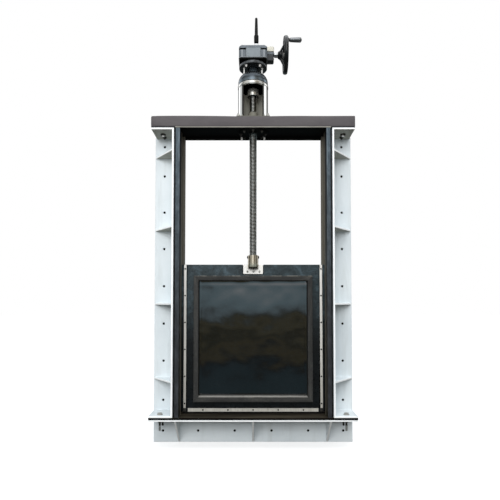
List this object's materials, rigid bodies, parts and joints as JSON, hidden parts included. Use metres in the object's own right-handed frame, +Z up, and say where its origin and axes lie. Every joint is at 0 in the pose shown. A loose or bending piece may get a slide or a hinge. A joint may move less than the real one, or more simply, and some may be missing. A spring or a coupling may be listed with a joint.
{
  "type": "sluice gate",
  "caption": "Wall-mounted sluice gate: white moulded frame, black guide rails and ribbed leaf, threaded rising stem, gearbox on a pedestal and a cranked handwheel.",
  "frame": {"origin": "on the wall face, on the centre line, at the bottom edge of the bottom beam's back plate", "axes": "+X to the right seen from the front, +Y towards the wall, +Z up"},
  "size_m": [2.01, 0.3599, 4.24],
  "materials": {
    "white_moulding": "satin cool white moulding",
    "black_plastic": "black sheet plastic",
    "rail_plastic": "black plastic with a blue-grey sheen",
    "beam_edge": "grey paint, lighter edge",
    "beam_grey": "mid grey paint, slightly mottled",
    "stainless": "satin stainless steel",
    "polished_stainless": "polished stainless steel",
    "gearbox_grey": "grey cast housing paint",
    "gearbox_dark": "dark cast housing",
    "plate_metal": "blank satin plate",
    "ivory_plastic": "ivory white cap",
    "mast_black": "black moulded mast",
    "leaf_composite": "glossy black composite, slightly wavy",
    "ring_composite": "warm dark grey composite",
    "seal_rubber": "black rubber seal",
    "stem_steel": "threaded stainless stem",
    "chrome_shaft": "chromed shaft",
    "wheel_black": "glossy black coating",
    "grip_metal": "polished dark metal grip"
  },
  "bodies": {
    "frame": {"bottom_beam": "white_moulding", "sill_plate": "black_plastic", "left_side_frame": "white_moulding", "right_side_frame": "white_moulding", "left_guide_rail": "rail_plastic", "right_guide_rail": "rail_plastic", "top_beam_flange": "beam_edge", "top_beam": "beam_grey", "left_beam_cap": "beam_grey", "right_beam_cap": "beam_grey", "top_back_bar": "black_plastic", "under_beam_plate": "black_plastic", "pedestal_base": "stainless", "stem_guide": "stainless", "pedestal_pipe": "polished_stainless", "pedestal_flange": "polished_stainless", "adapter_housing": "polished_stainless", "adapter_studs": "stainless", "gearbox_flange": "gearbox_grey", "gearbox_body": "gearbox_grey", "gearbox_cover": "gearbox_grey", "name_plate": "plate_metal", "pinion_housing": "gearbox_dark", "pinion_cap": "ivory_plastic", "mast_base": "stainless", "mast_sleeve": "mast_black", "mast_rod": "mast_black"},
    "leaf": {"leaf_panel": "leaf_composite", "leaf_ring": "ring_composite", "left_edge_strip": "stainless", "right_edge_strip": "stainless", "bottom_strip": "stainless", "bottom_seal": "seal_rubber", "lifting_bracket": "stainless", "stem_socket": "stainless", "coupling_pin": "stainless", "stem": "stem_steel"},
    "drive_sleeve": {"drive_sleeve": "polished_stainless"},
    "handwheel": {"pinion_shaft": "chrome_shaft", "handwheel": "wheel_black", "handle_spindle": "stainless"},
    "grip": {"handwheel_grip": "grip_metal"}
  },
  "joints": [
    {"name": "leaf_lift", "type": "slide", "parent": "frame", "child": "leaf", "axis": [0, 0, 1], "range_m": [0, 1.2]},
    {"name": "handwheel_turn", "type": "hinge", "parent": "frame", "child": "handwheel", "pos_m": [0.327, -0.15, 3.9], "axis": [1, 0, 0], "continuous": true},
    {"name": "sleeve_turn", "type": "hinge", "parent": "frame", "child": "drive_sleeve", "pos_m": [0, -0.15, 3.5], "axis": [0, 0, 1], "continuous": true},
    {"name": "grip_turn", "type": "hinge", "parent": "handwheel", "child": "grip", "pos_m": [0.42, -0.13993, 4.06469], "axis": [1, 0, 0], "continuous": true}
  ],
  "couplings": [
    {"joint": "sleeve_turn", "follows": "handwheel_turn", "ratio": 0.25}
  ]
}
